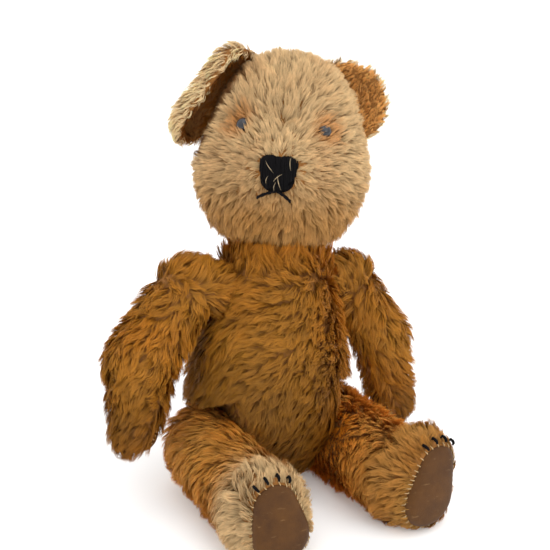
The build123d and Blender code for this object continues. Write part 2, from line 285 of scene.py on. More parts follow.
SOLE_HEIGHT = LEG_FLOOR + FOOT_H / 2
HIP_Y = PLANES["leg_left"][0][1]
HEEL_R, TOE_R, TOE_OUT = FOOT_W / 2, 19.0, 4.0


def leg_place(name, sign, distance=0, height=SOLE_HEIGHT):
    """A frame across a leg: its origin, the bear's left, up, and the way along it."""
    c, s = cos_sin(LEG_YAW[name])
    along = np.array([sign * s, -c, 0])
    across = np.array([c, sign * s, 0])
    origin = np.array([sign * LEG_AXIS_X, HIP_Y, height]) + along * distance
    return origin, across, np.array([0, 0, 1.0]), along


def leg_local(name, sign, points):
    """How far points lie across, up and along a leg, from the hip at the sole's height."""
    origin, *axes = leg_place(name, sign)
    return [(points - origin) @ axis for axis in axes]


def thigh_shape(name, sign, points):
    hip = leg_place(name, sign, 0, LEG_FLOOR + THIGH_R)[0]
    ankle = leg_place(name, sign, ANKLE_T, LEG_FLOOR + ANKLE_R)[0]
    return taper(points, hip, THIGH_R, ankle, ANKLE_R) + CLOTH_INSET


def sole_outline(x, y, sign, inset):
    """Signed distance in the plane of the sole to its egg shape, the toe turned outwards."""
    flat = np.stack([x, y, np.zeros_like(x)], 1)
    heel = np.array([-sign * 1.0, HEEL_R - FOOT_H / 2, 0])
    toe = np.array([sign * TOE_OUT, FOOT_H / 2 - TOE_R, 0])
    return taper(flat, heel, HEEL_R - inset, toe, TOE_R - inset)


def leg_field(name, sign):
    plane = PLANES["leg_" + name]

    def field(points):
        x, y, z = leg_local(name, sign, points)
        rim = sole_outline(x, y, sign, CLOTH_INSET)
        foot = soft_max(soft_max(rim, z - SOLE_T + 1.0, 7.0), FOOT_START - z, 10.0)
        d = soft_min(thigh_shape(name, sign, points), foot, 14.0)
        room = soft_min(GAP - beyond(points, plane), LEG_FREE + 4.0 - z, 12.0)
        return soft_max(d, room, 4.0)

    return field


def cup_frame():
    """Centre of the cupped ear's sphere, and the way that it opens."""
    opening = unit(HEAD.way(0.15, 0.98, 0.1))
    return HEAD.at(*CUP_SITE) + opening * (CUP_R - CUP_DEPTH), opening


EAR_T = 3.6


def cupped_ear(points):
    centre, opening = cup_frame()
    q = points - centre
    shell = np.abs(norm(q) - CUP_R + 1.0 + EAR_T / 2) - EAR_T / 2
    return soft_max(shell, q @ opening + CUP_R - CUP_DEPTH, 2.5)


def flap_frame():
    """Centre, lengthwise direction and outward direction of the folded ear."""
    c, s = cos_sin(FLAP_POLAR)
    at = HEAD.at(-FLAP_SITE_R * s, FLAP_FORWARD, FLAP_ROUND_UP + FLAP_SITE_R * c)
    return at, HEAD.way(-c, 0, -s), HEAD.way(-s, 0, c)


def folded_ear(points):
    centre, length, outward = flap_frame()
    half = length * (FLAP_HALF - FLAP_R)
    d = taper(points, centre - half, FLAP_R - 1.0, centre + half, FLAP_R - 1.001)
    shell = np.abs(d + EAR_T / 2) - EAR_T / 2
    lift_c, lift_s = cos_sin(FLAP_LIFT)
    rise = outward * lift_c - HEAD.way(0, 1, 0) * lift_s
    return soft_max(shell, FLAP_CUT - (points - centre) @ rise, 2.5)


# Meshes


def surface_net(field, low, high, cell):
    """Points and quads of a field's zero surface, on an even grid."""
    axes = [np.arange(a, b + cell, cell) for a, b in zip(low, high)]
    grid = np.stack(np.meshgrid(*axes, indexing="ij"), -1)
    shape = grid.shape[:3]
    inside = (field(grid.reshape(-1, 3)) < 0).reshape(shape)
    cells = [n - 1 for n in shape]
    count = np.zeros(cells, int)
    for i, j, k in itertools.product((0, 1), repeat=3):
        count += inside[i : i + cells[0], j : j + cells[1], k : k + cells[2]]
    mixed = (count > 0) & (count < 8)
    index = np.full(cells, -1)
    index[mixed] = np.arange(mixed.sum())
    points = grid[:-1, :-1, :-1][mixed] + cell / 2
    quads = []
    for axis in range(3):
        u, v = (axis + 1) % 3, (axis + 2) % 3
        first = np.take(inside, range(shape[axis] - 1), axis)
        second = np.take(inside, range(1, shape[axis]), axis)
        edge = np.argwhere(first != second)
        fits = (edge[:, u] > 0) & (edge[:, v] > 0)
        fits &= (edge[:, u] < shape[u] - 1) & (edge[:, v] < shape[v] - 1)
        edge = edge[fits]
        ring = []
        for du, dv in ((0, 0), (1, 0), (1, 1), (0, 1)):
            c = edge.copy()
            c[:, u] -= du
            c[:, v] -= dv
            ring.append(index[tuple(c.T)])
        quad = np.stack(ring, 1)
        outward = first[tuple(edge.T)]
        quad[~outward] = quad[~outward][:, ::-1]
        quads.append(quad)
    quads = np.concatenate(quads)
    for _ in range(6):
        points = relax(points, quads, 0.5)
        for _ in range(2):
            points = points - field(points)[:, None] * gradient(field, points)
    return points, quads


def relax(points, quads, share):
    """Moves each point towards the middle of its neighbours."""
    total = np.zeros_like(points)
    count = np.zeros(len(points))
    for a, b in ((0, 1), (1, 2), (2, 3), (3, 0)):
        np.add.at(total, quads[:, a], points[quads[:, b]])
        np.add.at(total, quads[:, b], points[quads[:, a]])
        np.add.at(count, quads[:, a], 1)
        np.add.at(count, quads[:, b], 1)
    return points + share * (total / np.maximum(count, 1)[:, None] - points)


def make_mesh(name, points, faces, material, body, shade_smooth=True):
    """A mesh object from points in millimetres and a list of arrays of equal-sided faces."""
    mesh = bpy.data.meshes.new(name)
    mesh.vertices.add(len(points))
    mesh.vertices.foreach_set("co", (points * MM).astype(np.float32).ravel())
    sizes = np.concatenate([np.full(len(f), f.shape[1]) for f in faces])
    mesh.loops.add(int(sizes.sum()))
    mesh.loops.foreach_set("vertex_index", np.concatenate([f.ravel() for f in faces]).astype(np.int32))
    mesh.polygons.add(len(sizes))
    starts = np.concatenate([[0], np.cumsum(sizes)[:-1]])
    mesh.polygons.foreach_set("loop_start", starts.astype(np.int32))
    mesh.polygons.foreach_set("use_smooth", np.full(len(sizes), shade_smooth))
    mesh.update(calc_edges=True)
    mesh.materials.append(material)
    obj = bpy.data.objects.new(name, mesh)
    bpy.context.scene.collection.objects.link(obj)
    if body:
        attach(obj, body)
    return obj


def coordinates(mesh):
    co = np.zeros(len(mesh.vertices) * 3, np.float32)
    mesh.vertices.foreach_get("co", co)
    return co.reshape(-1, 3).astype(float) / MM


def puff(obj, pinned, cap, pressure=4.0, frames=20):
    """Simulates cloth under pressure, its seams pinned. No point moves more than cap millimetres."""
    before = coordinates(obj.data)
    group = obj.vertex_groups.new(name="seam")
    group.add([int(i) for i in np.flatnonzero(pinned)], 1.0, "REPLACE")
    cloth = obj.modifiers.new("Cloth", "CLOTH")
    cloth.settings.quality = 4
    cloth.settings.use_pressure = True
    cloth.settings.uniform_pressure_force = pressure
    cloth.settings.effector_weights.gravity = 0
    cloth.settings.vertex_group_mass = "seam"
    cloth.collision_settings.use_collision = False
    cloth.point_cache.frame_start = 1
    cloth.point_cache.frame_end = frames
    for number in range(1, frames + 1):
        bpy.context.scene.frame_set(number)
    result = obj.evaluated_get(bpy.context.evaluated_depsgraph_get())
    after = coordinates(result.data)
    obj.modifiers.remove(cloth)
    bpy.context.scene.frame_set(1)
    move = after - before
    length = np.linalg.norm(move, axis=1, keepdims=True)
    move *= np.minimum(1, cap / np.maximum(length, 1e-6))
    obj.data.vertices.foreach_set("co", ((before + move) * MM).astype(np.float32).ravel())
    obj.data.update()


def ring_quads(rings, sides):
    """Quads between rings that follow one another, each with as many points as sides."""
    i = np.arange(rings - 1)[:, None] * sides
    j = np.arange(sides)[None]
    k = (j + 1) % sides
    return np.stack([i + j, i + k, i + sides + k, i + sides + j], -1).reshape(-1, 4)


def tube(path, radii, sides=6):
    """Points and quads of an open-ended tube along a path."""
    path = np.asarray(path, float)
    along = unit(np.gradient(path, axis=0))
    side = unit(np.cross(along, unit((0.31, 0.17, 0.93))))
    over = np.cross(along, side)
    angle = (np.arange(sides) * 2 * math.pi / sides)[None, :, None]
    ring = np.cos(angle) * side[:, None] + np.sin(angle) * over[:, None]
    points = path[:, None] + ring * np.asarray(radii, float)[:, None, None]
    return points.reshape(-1, 3), ring_quads(len(path), sides)


def make_joined(name, parts, material, body):
    """One mesh object from several (points, quads)."""
    points, quads, base = [], [], 0
    for p, q in parts:
        points.append(p)
        quads.append(q + base)
        base += len(p)
    return make_mesh(name, np.concatenate(points), [np.concatenate(quads)], material, body)


# Materials


RELIEF = 0.0003
LIGHT_THROUGH = 0.2


def new_material(name):
    material = bpy.data.materials.new(name)
    material.use_nodes = True
    nodes = material.node_tree.nodes
    return material, nodes, nodes["Principled BSDF"]


def feed(node, values):
    """Sets a node's inputs by name, linking those whose value is another node's output."""
    for key, value in values.items():
        if isinstance(value, bpy.types.NodeSocket):
            node.id_data.links.new(value, node.inputs[key])
        else:
            node.inputs[key].default_value = value
    return node


def object_noise(nodes, scale, detail=4.0, roughness=0.55, stretch=None):
    source = nodes.new("ShaderNodeTexCoord").outputs["Object"]
    if stretch:
        mapping = feed(nodes.new("ShaderNodeMapping"), {"Vector": source, "Scale": stretch})
        source = mapping.outputs["Vector"]
    values = {"Vector": source, "Scale": scale, "Detail": detail, "Roughness": roughness}
    return feed(nodes.new("ShaderNodeTexNoise"), values).outputs["Fac"]


def ramp(nodes, source, *stops):
    """Two colours, each with its place on the scale, and a blend between them."""
    node = feed(nodes.new("ShaderNodeValToRGB"), {"Fac": source})
    for element, (place, colour) in zip(node.color_ramp.elements, stops):
        element.position = place
        element.color = (*colour, 1)
    return node.outputs["Color"]


def colour_mix(nodes, values, blend="MIX"):
    mix = nodes.new("ShaderNodeMix")
    mix.data_type = "RGBA"
    mix.blend_type = blend
    return feed(mix, values).outputs["Result"]


def bump(nodes, source, strength):
    values = {"Height": source, "Strength": strength, "Distance": RELIEF}
    return feed(nodes.new("ShaderNodeBump"), values).outputs["Normal"]


def grained(name, dark, light, scale, roughness, strength=0.3, stretch=None, also=None):
    """A material whose colour and relief both follow one noise."""
    material, nodes, shader = new_material(name)
    noise = object_noise(nodes, scale, stretch=stretch)
    colour = ramp(nodes, noise, (0.3, dark), (0.7, light))
    relief = bump(nodes, noise, strength)
    feed(shader, {"Base Color": colour, "Roughness": roughness, "Normal": relief, **(also or {})})
    return material


def srgb(red, green, blue):
    c = np.array([red, green, blue], float) / 255
    return tuple(np.where(c <= 0.04045, c / 12.92, ((c + 0.055) / 1.055) ** 2.4))


def pile_material():
    """Mohair: each strand's colour is an attribute, mottled by noise, and light passes through."""
    material, nodes, shader = new_material("mohair_pile")
    attribute = nodes.new("ShaderNodeAttribute")
    attribute.attribute_name = "pile"
    noise = object_noise(nodes, 170.0, 3.0)
    tone = ramp(nodes, noise, (0.25, (0.86, 0.84, 0.8)), (0.75, (1.06, 1.05, 1.04)))
    colour = colour_mix(nodes, {"Factor": 1.0, "A": attribute.outputs["Color"], "B": tone}, "MULTIPLY")
    feed(shader, {"Base Color": colour, "Roughness": 0.52, "Specular IOR Level": 0.22})
    through = feed(nodes.new("ShaderNodeBsdfTranslucent"), {"Color": colour})
    values = {0: LIGHT_THROUGH, 1: shader.outputs["BSDF"], 2: through.outputs["BSDF"]}
    blend = feed(nodes.new("ShaderNodeMixShader"), values)
    feed(nodes["Material Output"], {"Surface": blend.outputs["Shader"]})
    return material


def leathercloth():
    """Brown coated cloth with a fine grain, its colour worn pale in streaks."""
    material, nodes, shader = new_material("leathercloth")
    broad = object_noise(nodes, 60.0, 6.0, 0.65)
    base = ramp(nodes, broad, (0.3, srgb(66, 38, 9)), (0.7, srgb(88, 54, 15)))
    scuff = object_noise(nodes, 240.0, 5.0, 0.7, stretch=(0.35, 1.0, 1.6))
    worn = ramp(nodes, scuff, (0.62, (0, 0, 0)), (0.74, (0.75, 0.75, 0.75)))
    colour = colour_mix(nodes, {"Factor": worn, "A": base, "B": (*srgb(128, 96, 58), 1)})
    grain = nodes.new("ShaderNodeTexVoronoi")
    feed(grain, {"Vector": nodes.new("ShaderNodeTexCoord").outputs["Object"], "Scale": 1400.0})
    relief = bump(nodes, grain.outputs["Distance"], 0.35)
    feed(shader, {"Base Color": colour, "Roughness": 0.55, "Specular IOR Level": 0.2, "Normal": relief})
    return material


PILE = pile_material()
BACKING = grained("woven_backing", srgb(120, 76, 26), srgb(150, 98, 40), 420.0, 0.9)
LEATHERCLOTH = leathercloth()
THREAD = grained(
    "black_thread", srgb(3, 2, 3), srgb(9, 7, 9), 900.0, 0.75, 0.5, also={"Specular IOR Level": 0.12}
)
PALE_HAIR = grained("pale_hair", srgb(196, 170, 128), srgb(226, 204, 164), 500.0, 0.6)
TAN_THREAD = grained("tan_thread", srgb(170, 140, 96), srgb(205, 176, 128), 900.0, 0.7)
STEEL = grained("bright_steel", (0.4, 0.4, 0.42), (0.6, 0.6, 0.62), 300.0, 0.32, also={"Metallic": 1.0})
HARDBOARD = grained("hardboard", srgb(92, 62, 38), srgb(134, 96, 62), 260.0, 0.8, stretch=(1, 1, 3))
GLASS = grained(
    "eye_glass", (0.006, 0.006, 0.009), (0.02, 0.018, 0.024), 80.0, 0.06, 0.02, also={"Coat Weight": 0.25}
)


# Pile

STRANDS_PER_LOCK = 5
STRAND_ROWS = np.array([0.0, 0.34, 0.68, 1.0])
ROW_WIDTH = np.array([1.0, 0.95, 0.62])
STRAND_POINTS = 7
# Painted shade and highlight along each strand: its root darker and warmer, its middle and tip lighter.
ROOT_SHADE_TINT = np.array([1.0, 0.93, 0.78])
MIDDLE_HIGHLIGHT, TIP_HIGHLIGHT, TONE_SPREAD = 1.06, 1.24, 0.07
LOCK_SPREAD, FRIZZ, ROLL, TAPER = 0.12, 0.28, 0.55, 0.45
TRIM_STEP, TRIM_ROUNDS, SHORTEST = 0.68, 4, 0.25
PATH_STEPS = 5
PIECE_STRANDS = 36000
THIN = 1.0
SKYWARD = np.array([0, 0, 0.4])


def triangles(quads):
    return np.concatenate([quads[:, [0, 1, 2]], quads[:, [0, 2, 3]]])


def scatter(points, tris, per_area, rng):
    """Points spread evenly over a mesh by area."""
    a, b, c = (points[tris[:, i]] for i in range(3))
    area = norm(np.cross(b - a, c - a)) / 2
    count = int(area.sum() * per_area)
    pick = rng.choice(len(tris), count, p=area / area.sum())
    u, v = rng.random(count), rng.random(count)
    flip = u + v > 1
    u[flip], v[flip] = 1 - u[flip], 1 - v[flip]
    return a[pick] + u[:, None] * (b - a)[pick] + v[:, None] * (c - a)[pick]


def nearest(points, centres):
    """Index of the nearest centre to each point."""
    found = []
    square = (centres**2).sum(1)
    for start in range(0, len(points), 4000):
        block = points[start : start + 4000]
        found.append(np.argmin(square[None] - 2 * block @ centres.T, 1))
    return np.concatenate(found)


def spun(vectors, normals, angles):
    """Tangent vectors turned about their normals."""
    c, s = np.cos(angles)[:, None], np.sin(angles)[:, None]
    return vectors * c + np.cross(normals, vectors) * s


def tangent(vectors, normals):
    """The direction of each vector within the surface."""
    return unit(vectors - (vectors * normals).sum(1)[:, None] * normals)


def paths(field, roots, flow, length, lift, wave, phase):
    """Each lock's line: it leaves the cloth at a steep angle, leans over and waves sideways."""
    line = [roots]
    heading = flow
    for step in range(PATH_STEPS):
        t = (step + 0.5) / PATH_STEPS
        here = line[-1]
        normal = gradient(field, here)
        heading = tangent(heading, normal)
        sway = spun(heading, normal, wave * np.sin(2 * math.pi * t * 1.1 + phase))
        rise = np.radians(lift[0] + (lift[1] - lift[0]) * t)
        move = np.cos(rise)[:, None] * sway + np.sin(rise)[:, None] * normal
        line.append(here + move * (length / PATH_STEPS)[:, None])
    return np.stack(line, 1)


def trimmed(spot, barrier):
    """Shortens the strands that reach into the room that other pieces need."""
    m = len(spot)
    share = np.ones(m)
    active = np.arange(m)
    for _ in range(TRIM_ROUNDS):
        root = spot[active, :1]
        tried = root + (spot[active, 1:] - root) * share[active, None, None]
        worst = barrier(tried.reshape(-1, 3)).reshape(-1, 3).min(1)
        active = active[worst < 0]
        if not len(active):
            break
        share[active] *= TRIM_STEP
    spot = spot.copy()
    spot[:, 1:] = spot[:, :1] + (spot[:, 1:] - spot[:, :1]) * share[:, None, None]
    return spot, share > SHORTEST


def clear_of(points, barrier, rounds=3):
    """Moves points out of the room that other pieces need."""
    for _ in range(rounds):
        short = barrier(points)
        bad = short < 0
        if not bad.any():
            break
        points = points.copy()
        points[bad] -= short[bad][:, None] * gradient(barrier, points[bad])
    return points


def grow(name, body, mesh, look, seed):
    """Covers a body's cloth with locks of ribbon-like strands."""
    rng = np.random.default_rng(seed)
    field, (steep, flat) = look["shape"], look["lift"]
    points, quads = mesh
    tris = triangles(quads)
    centre = scatter(points, tris, 1 / look["lock"] ** 2, rng)
    count = len(centre)
    bend = np.radians(look["swirl"]) * ripple(centre, look["swirl_size"], seed + 1)
    bend += np.radians(look["stray"]) * rng.normal(size=count)
    normal = gradient(field, centre)
    flow = spun(tangent(unit(look["flow"](centre)), normal), normal, bend)
    length = look["length"](centre) * rng.uniform(0.85, 1.15, count)
    phase = rng.uniform(0, 2 * math.pi, count)
    lift = rng.normal(0, 6, count)
    wave = np.radians(look["wave"]) * rng.uniform(0.5, 1.3, count)
    centre_line = paths(field, centre, flow, length, (steep + lift, flat + lift / 2), wave, phase)
    root = scatter(points, tris, look["density"] * THIN / STRANDS_PER_LOCK, rng)
    root = root[look["grows"](root)]
    lock = nearest(root, centre)
    n = len(root)
    normal = gradient(field, root)
    own_flow = spun(flow[lock], normal, rng.normal(0, 0.13, n))
    own_length = length[lock] * rng.uniform(0.85, 1.12, n)
    own_steep = steep + lift[lock] + rng.normal(0, 5, n)
    own_flat = flat + lift[lock] / 2 + rng.normal(0, 5, n)
    own_phase = phase[lock] + rng.normal(0, 0.25, n)
    line = paths(field, root, own_flow, own_length, (own_steep, own_flat), wave[lock], own_phase)
    t = np.linspace(0, 1, PATH_STEPS + 1)
    pull = (look["clump"] * t**1.3)[None, :, None]
    offset = root - centre[lock]
    gathered = centre_line[lock] + offset[:, None] * 0.3
    line = line + pull * (gathered - line)
    strand = np.repeat(np.arange(n), STRANDS_PER_LOCK)
    m = len(strand)
    n_strand = normal[strand]
    jitter = rng.normal(0, look["lock"] * LOCK_SPREAD, (m, 3))
    jitter -= (jitter * n_strand).sum(1)[:, None] * n_strand
    reach = rng.uniform(0.62, 1.0, m)
    rows = STRAND_ROWS[None] * reach[:, None] * PATH_STEPS
    low = np.minimum(rows.astype(int), PATH_STEPS - 1)
    part = (rows - low)[..., None]
    own = line[strand]
    index = np.arange(m)[:, None]
    spot = own[index, low] * (1 - part) + own[index, low + 1] * part
    spread = 1 - TAPER * STRAND_ROWS
    spot = spot + jitter[:, None] * spread[None, :, None]
    spot = spot + rng.normal(0, FRIZZ, spot.shape) * STRAND_ROWS[None, :, None]
    spot, keep = trimmed(spot, look["barrier"])
    spot = clear_of(spot.reshape(-1, 3), look["press"]).reshape(spot.shape)
    spot, strand, n_strand = spot[keep], strand[keep], n_strand[keep]
    ribbons(name, body, spot, n_strand, strand, lock, root, centre, look, rng)


def ribbons(name, body, spot, normal, strand, lock, root, centre, look, rng):
    """Turns the strands' points into tapering ribbons with soft shading, their colours darker at the root
    as painted shade and lighter at the tip as a painted highlight.
    """
    m = len(spot)
    along = unit(np.gradient(spot, axis=1))
    side = unit(np.cross(along, normal[:, None]))
    roll = rng.normal(0, ROLL, m)
    over = np.cross(side, along)
    side = side * np.cos(roll)[:, None, None] + over * np.sin(roll)[:, None, None]
    half = look["width"] / 2 * rng.uniform(0.75, 1.25, m) / math.sqrt(THIN)
    half = half[:, None, None] * ROW_WIDTH[None, :, None]
    left = spot[:, :3] - side[:, :3] * half
    right = spot[:, :3] + side[:, :3] * half
    points = np.concatenate([np.stack([left, right], 2).reshape(m, 6, 3), spot[:, 3:]], 1)
    across = root[strand] - centre[lock][strand]
    tilt = across / look["lock"] * look["round"]
    face = np.cross(along, side)
    face *= np.sign((face * normal[:, None]).sum(2))[..., None]
    shade = unit(normal[:, None] + tilt[:, None] + face * 0.3 + SKYWARD)
    shade = np.concatenate([np.repeat(shade[:, :3], 2, 1), shade[:, 3:]], 1)
    base = look["colour"](root)[strand]
    tone = rng.normal(1, TONE_SPREAD, len(centre))[lock][strand] * rng.normal(1, TONE_SPREAD, m)
    # Painted shade and highlight: each strand darker and warmer at its root, lighter towards its tip.
    middle_shade = (1 + look["root"]) / 2
    root_shade_tip_highlight = np.repeat([look["root"], middle_shade, MIDDLE_HIGHLIGHT, TIP_HIGHLIGHT], (2, 2, 2, 1))
    colour = base[:, None] * tone[:, None, None] * root_shade_tip_highlight[None, :, None]
    colour *= ROOT_SHADE_TINT[None, None] ** np.clip(1 - root_shade_tip_highlight, 0, 1)[None, :, None]
    for number, start in enumerate(range(0, m, PIECE_STRANDS)):
        chunk = slice(start, min(start + PIECE_STRANDS, m))
        count = chunk.stop - chunk.start
        base_index = np.arange(count)[:, None, None] * STRAND_POINTS
        quads = (np.array([[0, 1, 3, 2], [2, 3, 5, 4]])[None] + base_index).reshape(-1, 4)
        tips = (np.array([[4, 5, 6]])[None] + base_index).reshape(-1, 3)
        flat = points[chunk].reshape(-1, 3)
        piece = make_mesh(f"{name}_{number + 1}", flat, [quads, tips], PILE, body)
        attribute = piece.data.color_attributes.new("pile", "FLOAT_COLOR", "POINT")
        rgba = np.ones((count * STRAND_POINTS, 4), np.float32)
        rgba[:, :3] = np.clip(colour[chunk].reshape(-1, 3), 0.003, 0.97)
        attribute.data.foreach_set("color", rgba.ravel())
        piece.data.normals_split_custom_set_from_vertices(shade[chunk].reshape(-1, 3).tolist())


# Colours and directions of the pile

CREAM = np.array(srgb(218, 186, 138))
GOLD = np.array(srgb(178, 122, 40))
AMBER = np.array(srgb(196, 116, 14))
# The brown below is only painted shade: under the folded ear and deep inside both ears.
SHADE_BROWN = np.array(srgb(112, 62, 18))
HONEY = np.array(srgb(218, 160, 76))
PALE = np.array(srgb(250, 222, 174))
APRICOT = np.array(srgb(240, 170, 84))


def mixed(a, b, share):
    """A colour, or one colour a point, blended towards another by each point's share."""
    return a * (1 - share[:, None]) + b * share[:, None]


def above_floor(field):
    """Room to press pile out of: a body's cloth and the floor."""
    return lambda points: np.minimum(field(points), points[:, 2] - FLOOR_GAP)


def on_joint(points, plane, radius):
    """Cloth pressed against a joint's disc, where no pile grows."""
    return (beyond(points, plane) < 1.2) & (from_axis(points, plane) < radius)


NOSE_AT = HEAD.at(*NOSE_SITE)
NOSE_OUT, NOSE_SIDE = unit(HEAD.way(*NOSE_FACING)), unit(HEAD.way(1, 0, 0))
NOSE_UP = np.cross(NOSE_OUT, NOSE_SIDE)
NOSE_SWELL, NOSE_EASE, THREAD_PITCH = 3.4, 4.0, 0.92
EYES_AT = [HEAD.at(sign * EYE_SITE[0], *EYE_SITE[1:]) for sign in (1, -1)]


def near_nose(points):
    return norm(points - NOSE_AT)


def near_eye(points):
    return np.minimum(*[norm(points - at) for at in EYES_AT])


def head_flow(points):
    q = HEAD.local(points)
    out = unit(q - (0, 70, 46))
    back = smooth(q[:, 1], 30, -25)
    chin = smooth(q[:, 2], 42, 12)
    down = 0.15 + 0.9 * back + 0.7 * chin
    return HEAD.world_way(out + down[:, None] * np.array([0, 0, -1.0]))


def under_flap(points):
    """1 on the cloth that the folded ear shades, falling to 0 around it."""
    at, length, _ = flap_frame()
    q = points - at
    t = np.clip(q @ length, FLAP_R - FLAP_HALF - 3, FLAP_HALF - FLAP_R)
    q = q - t[:, None] * length
    ahead = q @ HEAD.way(0, 1, 0)
    beside = smooth(HEAD.local(points)[:, 0], -20, -34)
    across = smooth(ahead, FLAP_R + 7, FLAP_R - 3) * smooth(ahead, -FLAP_R - 2, -FLAP_R + 6)
    return beside * across * (np.abs((points - at) @ length) < FLAP_HALF)


def head_length(points):
    q = HEAD.local(points)
    length = 7.0 + 5.0 * smooth(near_nose(points), 16, 50)
    length += 3.0 * smooth(q[:, 2], 34, 8)
    length *= 1 - 0.5 * under_flap(points)
    return length * (0.75 + 0.25 * smooth(near_eye(points), 6, 15))


def head_colour(points):
    warm = 0.55 * smooth(near_eye(points), 16, 6)
    colour = mixed(CREAM, AMBER, np.clip(warm + 0.12 * ripple(points, 40, 5), 0, 1))
    q = HEAD.local(points)
    # The chin blends towards gold, partly the pile's own colour and partly painted shade on the
    # underside; the back of the head leans a little towards gold as well.
    chin = 0.75 * smooth(q[:, 2], 56, 14) + 0.2 * smooth(q[:, 1], 20, -30)
    colour = mixed(colour, GOLD, chin)
    shade = 0.85 * under_flap(points)
    return mixed(colour, SHADE_BROWN, shade)


def nose_local(points):
    facing = unit(NOSE_FACING)
    q = HEAD.local(points) - NOSE_SITE
    up = unit(np.array([0, 0, 1.0]) - facing[2] * facing)
    return q[:, 0], q @ up, q @ facing


def head_grows(points):
    x, y, z = nose_local(points)
    on_nose = (nose_outline(x, y) < -1.5) & (z > -14)
    eye = near_eye(points) < EYE_R - 1.0
    return ~(on_nose | eye | on_joint(points, PLANES["head"], 30))


def head_barrier(points):
    return beyond(points, PLANES["head"]) + JOINT_NAP


def head_press(points):
    return np.minimum(head_field(points), near_eye(points) - EYE_R + 1.2)


def head_shape(points):
    return uncut_head(points) + CLOTH_INSET


def torso_flow(points):
    q = SPINE.local(points)
    front = smooth(q[:, 1], -15, 20)
    edge = np.maximum(beyond(points, PLANES["arm_left"]), beyond(points, PLANES["arm_right"]))
    side = -0.9 * front * smooth(edge, -4, -18)
    collar = smooth(q[:, 2], 140, 166)[:, None]
    down = np.stack([side, 0 * side, -0.5 - 0.55 * (1 - front)], 1)
    out = unit(q * (1, 1, 0)) + (0, 0, 1.0)
    return SPINE.world_way(down * (1 - collar) + out * collar)


def torso_length(points):
    q = SPINE.local(points)
    flank = smooth(np.abs(q[:, 0]), 28, 46) * smooth(q[:, 2], 125, 95)
    return 14.0 + 7.0 * smooth(q[:, 2], 140, 168) + 3.5 * flank


def torso_colour(points):
    q = SPINE.local(points)
    warm = 0.45 * smooth(q[:, 0], 5, 50) + 0.5 * smooth(q[:, 2], 140, 172) + 0.15 * ripple(points, 45, 11)
    shaded = 1.04 - 0.32 * smooth(q[:, 2], 120, 75)
    return mixed(GOLD, AMBER, np.clip(warm, 0, 1)) * shaded[:, None]


def torso_barrier(points):
    neck = PLANES["head"]
    d = room_beside(points, neck, 34.0) + 7.0 * smooth(from_axis(points, neck), 38, 50)
    for name, sign in (("left", 1), ("right", -1)):
        shoulder = PLANES["arm_" + name]
        over = 9.0 * smooth(from_axis(points, shoulder), 26, 36) * (points[:, 2] > shoulder[0][2])
        d = np.minimum(d, room_beside(points, shoulder, 22.0) + over)
        d = np.minimum(d, recess(points, sign, "leg_" + name) + JOINT_NAP)
    return d


def room_beside(points, plane, radius):
    """Room left for the torso's pile: little beside the joint's disc, and more outside it."""
    room = JOINT_NAP + 4.0 * smooth(from_axis(points, plane), radius, radius + 12)
    return room - beyond(points, plane)


DISC_COVER = {"head": 30, "arm": 17, "leg": 26}


def torso_grows(points):
    covered = np.zeros(len(points), bool)
    for name, plane in PLANES.items():
        radius = DISC_COVER[name.split("_")[0]]
        covered |= (from_axis(points, plane) < radius) & (np.abs(beyond(points, plane)) < 3)
    return ~covered & (points[:, 2] > 3.0)


# Lengths are in millimetres, angles in degrees and density in strands per square millimetre
TORSO_LOOK = {
    "density": 1.9,
    "lock": 5.0,
    "length": torso_length,
    "flow": torso_flow,
    "swirl": 38,
    "swirl_size": 46,
    "stray": 13,
    "lift": (46, 10),
    "wave": 30,
    "clump": 0.62,
    "width": 0.37,
    "round": 0.75,
    # root is painted shade: the share of a strand's colour that is left at its root.
    "root": 0.66,
    "colour": torso_colour,
    "grows": torso_grows,
    "barrier": torso_barrier,
    "press": above_floor(torso_field),
    "shape": torso_uncut,
}
HEAD_LOOK = {
    **TORSO_LOOK,
    "lock": 4.6,
    "length": head_length,
    "flow": head_flow,
    "swirl": 16,
    "stray": 10,
    "lift": (50, 14),
    "wave": 16,
    "clump": 0.6,
    "root": 0.68,
    "colour": head_colour,
    "grows": head_grows,
    "barrier": head_barrier,
    "press": head_press,
    "shape": head_shape,
}


def arm_look(name, sign, field):
    plane = PLANES["arm_" + name]
    start, bend, end = arm_ends(name, sign)
    down = unit(end - start)

    def flow(points):
        crown = unit(points - (start * 0.6 + bend * 0.4))
        along = smooth(beyond(points, (start, down)), -15, 30)
        return crown * (1.2 - along)[:, None] + down * (0.25 + 0.75 * along)[:, None]

    def colour(points):
        # Lighter at the shoulder as a painted highlight and darker towards the paw as painted shade; the
        # paw end is also warmer.
        low = smooth(beyond(points, (bend, down)), 5, 50)
        warm = 0.12 + 0.22 * low + 0.15 * ripple(points, 40, 21)
        return mixed(GOLD, AMBER, np.clip(warm, 0, 1)) * (1.12 - 0.5 * low)[:, None]

    def barrier(points):
        return beyond(points, plane) + JOINT_NAP

    def grows(points):
        return ~on_joint(points, plane, 16) & ~on_palm(name, sign, points)

    return {
        **TORSO_LOOK,
        "press": above_floor(field),
        "shape": field,
        "length": lambda p: np.full(len(p), 13.5),
        "flow": flow,
        "colour": colour,
        "grows": grows,
        "barrier": barrier,
    }


def palm(name, sign):
    """Middle of the paw pad on the arm's inner side, and the way it faces."""
    start, _, end = arm_ends(name, sign)
    inward = unit(np.cross(end - start, SPINE.way(0, sign, 0)))
    return end + inward * (ARMS[name][2][1] - CLOTH_INSET), inward


def on_palm(name, sign, points, radius=12.5):
    at, inward = palm(name, sign)
    q = points - at
    depth = q @ inward
    return (norm(q - depth[:, None] * inward) < radius) & (depth > -12)


